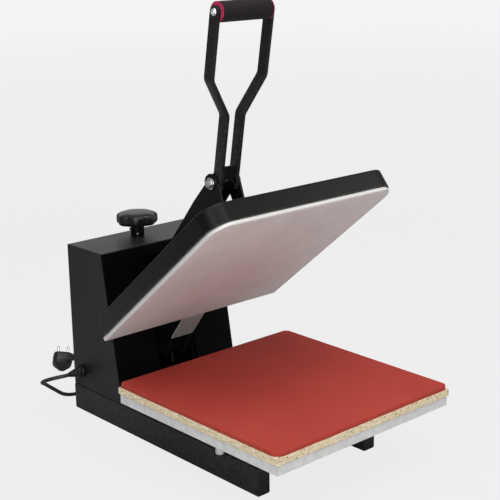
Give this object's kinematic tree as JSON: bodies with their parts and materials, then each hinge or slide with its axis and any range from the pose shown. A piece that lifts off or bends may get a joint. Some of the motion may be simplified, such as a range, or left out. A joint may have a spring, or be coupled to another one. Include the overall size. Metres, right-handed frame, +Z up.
{
  "type": "heat press",
  "caption": "Clamshell heat press: a raised square heating platen on a rear hinge over a red silicone pad, with a toggle lever handle, pressure knob and rear housing.",
  "frame": {"origin": "on the floor under the middle of the machine's bounding box, without the mains lead", "axes": "+Z up, -Y to the front where the operator stands, +X to the operator's right"},
  "size_m": [0.3941, 0.8127, 0.7435],
  "materials": {
    "powder_coat": "satin black powder coat",
    "galvanised": "galvanised sheet",
    "zinc": "zinc plated",
    "aluminium": "satin, machined",
    "spring": "spring steel",
    "chipboard": "raw chipboard",
    "silicone": "matt silicone",
    "wool": "mineral wool",
    "foam": "foam",
    "black_plastic": "moulded",
    "grey_plastic": "moulded",
    "window": "smoked window",
    "cord": "cord jacket"
  },
  "bodies": {
    "base": {"base_board": "chipboard", "bed_tray": "galvanised", "controller_case": "black_plastic", "controller_display": "window", "cord_coil": "cord", "cord_gland": "black_plastic", "front_crossbar": "powder_coat", "front_panel": "powder_coat", "fuse_holder": "black_plastic", "hinge_shaft": "zinc", "housing_shell": "powder_coat", "left_column": "powder_coat", "left_leg": "powder_coat", "left_leg_cap": "black_plastic", "left_lift_spring": "spring", "left_tray_stud": "zinc", "mains_cord": "cord", "mains_plug": "black_plastic", "plug_cord": "cord", "rear_beam": "powder_coat", "rear_cover": "powder_coat", "rear_crossbar": "powder_coat", "right_column": "powder_coat", "right_leg": "powder_coat", "right_leg_cap": "black_plastic", "right_lift_spring": "spring", "right_tray_stud": "zinc", "silicone_pad": "silicone", "solid_state_relay": "black_plastic", "spring_anchor_pin": "zinc", "switch_bezel": "black_plastic", "terminal_block": "grey_plastic"},
    "platen": {"heating_plate": "aluminium", "insulation_blanket": "wool", "platen_cover": "powder_coat", "platen_arm": "powder_coat", "arm_plate": "aluminium", "hinge_barrel": "zinc", "spring_tail_pin": "zinc", "toggle_bracket": "powder_coat"},
    "lever": {"link_yoke": "powder_coat", "left_handle_bar": "powder_coat", "right_handle_bar": "powder_coat", "cross_plate": "powder_coat", "knee_bolt": "zinc", "grip_rod": "zinc", "foam_grip": "foam"},
    "toggle": {"left_toggle": "powder_coat", "right_toggle": "powder_coat", "toggle_pin": "zinc"},
    "carriage": {"pressure_carriage": "powder_coat", "lever_pivot_pin": "zinc", "guide_pin": "zinc"},
    "knob": {"pressure_knob": "black_plastic", "pressure_screw": "zinc"},
    "power_switch": {"power_rocker": "black_plastic"},
    "set_key": {"set_button": "grey_plastic"},
    "down_key": {"down_button": "grey_plastic"},
    "up_key": {"up_button": "grey_plastic"}
  },
  "joints": [
    {"name": "platen_hinge", "type": "hinge", "parent": "base", "child": "platen", "pos_m": [0, 0.1815, 0.117], "axis": [1, 0, 0], "range_deg": [0, 39.6], "stiffness_Nm_per_rad": 20, "springref_deg": -97.4, "deforming": ["left_lift_spring", "right_lift_spring"]},
    {"name": "pressure_slide", "type": "slide", "parent": "base", "child": "carriage", "axis": [0, 0, 1], "range_m": [-0.0015, 0.0015]},
    {"name": "lever_hinge", "type": "hinge", "parent": "carriage", "child": "lever", "pos_m": [0, 0.17929, 0.26436], "axis": [1, 0, 0], "range_deg": [0, 52.92]},
    {"name": "toggle_hinge", "type": "hinge", "parent": "lever", "child": "toggle", "pos_m": [0, 0.0255, 0.446], "axis": [1, 0, 0], "range_deg": [-76.43, 0]},
    {"name": "knob_spin", "type": "hinge", "parent": "base", "child": "knob", "pos_m": [0, 0.2685, 0.34], "axis": [0, 0, 1], "range_deg": [-360, 360]},
    {"name": "switch_hinge", "type": "hinge", "parent": "base", "child": "power_switch", "pos_m": [-0.07, 0.2985, 0.09], "axis": [1, 0, 0], "range_deg": [-18, 0]},
    {"name": "set_button_press", "type": "slide", "parent": "base", "child": "set_key", "axis": [0, 0.9864, -0.1644], "range_m": [0, 0.0008], "stiffness_N_per_m": 600, "springref_m": -0.0005},
    {"name": "down_button_press", "type": "slide", "parent": "base", "child": "down_key", "axis": [0, 0.9864, -0.1644], "range_m": [0, 0.0008], "stiffness_N_per_m": 600, "springref_m": -0.0005},
    {"name": "up_button_press", "type": "slide", "parent": "base", "child": "up_key", "axis": [0, 0.9864, -0.1644], "range_m": [0, 0.0008], "stiffness_N_per_m": 600, "springref_m": -0.0005}
  ],
  "couplings": [
    {"joint": "lever_hinge", "follows": "platen_hinge", "ratio": 1.3362},
    {"joint": "toggle_hinge", "follows": "platen_hinge", "ratio": -1.9297},
    {"joint": "knob_spin", "follows": "pressure_slide", "rad_per_m": 4188.8}
  ]
}
